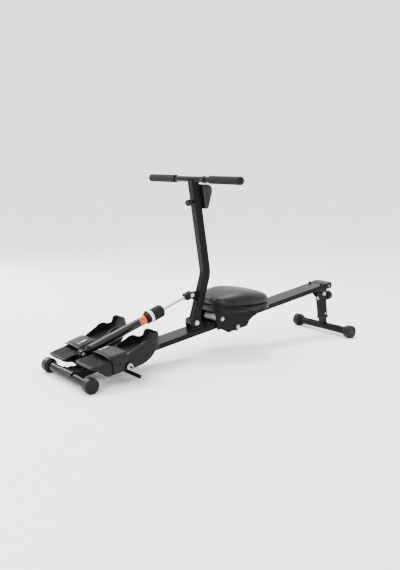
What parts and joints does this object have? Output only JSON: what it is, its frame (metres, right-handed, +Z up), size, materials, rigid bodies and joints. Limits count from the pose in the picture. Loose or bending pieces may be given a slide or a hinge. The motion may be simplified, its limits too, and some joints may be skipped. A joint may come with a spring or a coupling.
{
  "type": "rowing machine",
  "caption": "Folding rowing machine: sloped rail, sliding padded seat on rollers, swinging mast with handlebar, hydraulic cylinder, tilting footrests and folding rear stand",
  "frame": {"origin": "on the floor, at the middle of the bounding box's base", "axes": "+X from the footrests to the rear stand, +Y to the rower's right, +Z up"},
  "size_m": [1.3146, 0.562, 0.698],
  "materials": {
    "painted_black": "glossy black powder coat",
    "black_plastic": "moulded black, slight sheen",
    "strap_black": "smooth flexible black",
    "foam_black": "fine-celled black foam",
    "leather_black": "black grained leatherette",
    "rubber_black": "matte",
    "bright_steel": "zinc plated",
    "inner_black": "satin black",
    "rod_chrome": "polished",
    "label_orange": "plain printed band",
    "scale_white": "white ring",
    "roller_grey": "light grey nylon",
    "screen_grey": "blank display window",
    "button_grey": "satin"
  },
  "bodies": {
    "frame": {"main_rail": "painted_black", "rail_end_cap": "black_plastic", "rail_stops": "rubber_black", "front_saddle": "painted_black", "front_floor_tube": "painted_black", "front_end_cap_left": "black_plastic", "front_end_cap_right": "black_plastic", "pedal_axle": "painted_black", "pedal_axle_nuts": "bright_steel", "pedal_stop_rod": "painted_black", "cylinder_lug": "painted_black", "cylinder_lug_bolt": "bright_steel", "mast_bracket": "painted_black", "bracket_bridge": "black_plastic", "mast_pivot_bolt": "bright_steel", "stand_bracket": "painted_black", "stand_pivot_bolt": "bright_steel"},
    "footrest_left": {"pedal_left": "black_plastic", "pedal_strap_left": "strap_black"},
    "footrest_right": {"pedal_right": "black_plastic", "pedal_strap_right": "strap_black"},
    "cylinder": {"cylinder_eye": "painted_black", "cylinder_barrel": "painted_black", "cylinder_label": "label_orange", "neck_collar": "black_plastic", "scale_ring": "scale_white"},
    "dial": {"resistance_dial": "black_plastic"},
    "rod": {"piston_rod": "rod_chrome", "rod_yoke": "painted_black", "yoke_bolt": "bright_steel"},
    "arm": {"mast": "painted_black", "mast_lug": "painted_black", "handlebar": "painted_black", "grip_left": "foam_black", "grip_right": "foam_black", "bar_plugs": "black_plastic", "bar_clip": "black_plastic", "console_bracket": "painted_black", "console_housing": "black_plastic", "console_screen": "screen_grey"},
    "button": {"console_button": "button_grey"},
    "clamp_knob": {"console_knob": "black_plastic"},
    "seat": {"seat_pan": "black_plastic", "seat_cushion": "leather_black", "carriage_plate_left": "painted_black", "carriage_plate_right": "painted_black", "carriage_axles": "bright_steel"},
    "wheel_front": {"roller_front": "roller_grey"},
    "wheel_rear": {"roller_rear": "roller_grey"},
    "wheel_lower": {"roller_lower": "roller_grey"},
    "leg": {"leg_sleeve": "painted_black", "leg_front_bolt": "bright_steel", "sleeve_bush": "black_plastic"},
    "foot": {"leg_inner": "inner_black", "rear_floor_tube": "painted_black", "rear_end_cap_left": "black_plastic", "rear_end_cap_right": "black_plastic"},
    "pin": {"height_pin": "bright_steel"},
    "lock": {"lock_knob": "black_plastic"}
  },
  "joints": [
    {"name": "mast_swing", "type": "hinge", "parent": "frame", "child": "arm", "pos_m": [-0.0989, 0, 0.14], "axis": [0, 1, 0], "range_deg": [0, 40]},
    {"name": "cylinder_swing", "type": "hinge", "parent": "frame", "child": "cylinder", "pos_m": [-0.5787, 0, 0.093], "axis": [0, 1, 0], "range_deg": [-1, 5]},
    {"name": "rod_slide", "type": "slide", "parent": "cylinder", "child": "rod", "axis": [0.9479, 0, 0.3187], "range_m": [-0.001, 0.072]},
    {"name": "seat_slide", "type": "slide", "parent": "frame", "child": "seat", "axis": [0.9885, 0, 0.1513], "range_m": [-0.001, 0.405]},
    {"name": "roller_front_turn", "type": "hinge", "parent": "seat", "child": "wheel_front", "pos_m": [-0.00033, 0, 0.14803], "axis": [0, 1, 0], "continuous": true},
    {"name": "roller_rear_turn", "type": "hinge", "parent": "seat", "child": "wheel_rear", "pos_m": [0.14201, 0, 0.16982], "axis": [0, 1, 0], "continuous": true},
    {"name": "roller_lower_turn", "type": "hinge", "parent": "seat", "child": "wheel_lower", "pos_m": [0.07901, 0, 0.10555], "axis": [0, 1, 0], "continuous": true},
    {"name": "pedal_left_tilt", "type": "hinge", "parent": "frame", "child": "footrest_left", "pos_m": [-0.48324, -0.101, 0.06706], "axis": [0, -1, 0], "range_deg": [-32, 9]},
    {"name": "pedal_right_tilt", "type": "hinge", "parent": "frame", "child": "footrest_right", "pos_m": [-0.48324, 0.101, 0.06706], "axis": [0, -1, 0], "range_deg": [-39, 2]},
    {"name": "dial_turn", "type": "hinge", "parent": "cylinder", "child": "dial", "pos_m": [-0.5787, 0, 0.093], "axis": [0.9479, 0, 0.3187], "range_deg": [-150, 150]},
    {"name": "console_knob_turn", "type": "hinge", "parent": "arm", "child": "clamp_knob", "pos_m": [-0.10425, 0, 0.59912], "axis": [0.9869, 0, 0.1616], "range_deg": [-360, 0]},
    {"name": "console_button_press", "type": "slide", "parent": "arm", "child": "button", "axis": [-0.9549, 0, 0.2968], "range_m": [0, 0.001], "stiffness_N_per_m": 400},
    {"name": "leg_fold", "type": "hinge", "parent": "frame", "child": "leg", "pos_m": [0.59705, 0, 0.17571], "axis": [0, -1, 0], "range_deg": [-90, 0]},
    {"name": "foot_extend", "type": "slide", "parent": "leg", "child": "foot", "axis": [0.1513, 0, -0.9885], "range_m": [0, 0.04]},
    {"name": "height_pin_pull", "type": "slide", "parent": "leg", "child": "pin", "axis": [0, 1, 0], "range_m": [0, 0.045]},
    {"name": "lock_knob_turn", "type": "hinge", "parent": "frame", "child": "lock", "pos_m": [0.61634, 0, 0.15742], "axis": [0.9885, 0, 0.1513], "range_deg": [0, 720]}
  ],
  "couplings": [
    {"joint": "cylinder_swing", "follows": "mast_swing", "ratio": 0.08968},
    {"joint": "rod_slide", "follows": "mast_swing", "m_per_rad": 0.09783},
    {"joint": "seat_slide", "follows": "mast_swing", "m_per_rad": 0.57296},
    {"joint": "roller_front_turn", "follows": "mast_swing", "ratio": 38.977},
    {"joint": "roller_rear_turn", "follows": "mast_swing", "ratio": 38.977},
    {"joint": "roller_lower_turn", "follows": "mast_swing", "ratio": -30.64}
  ]
}
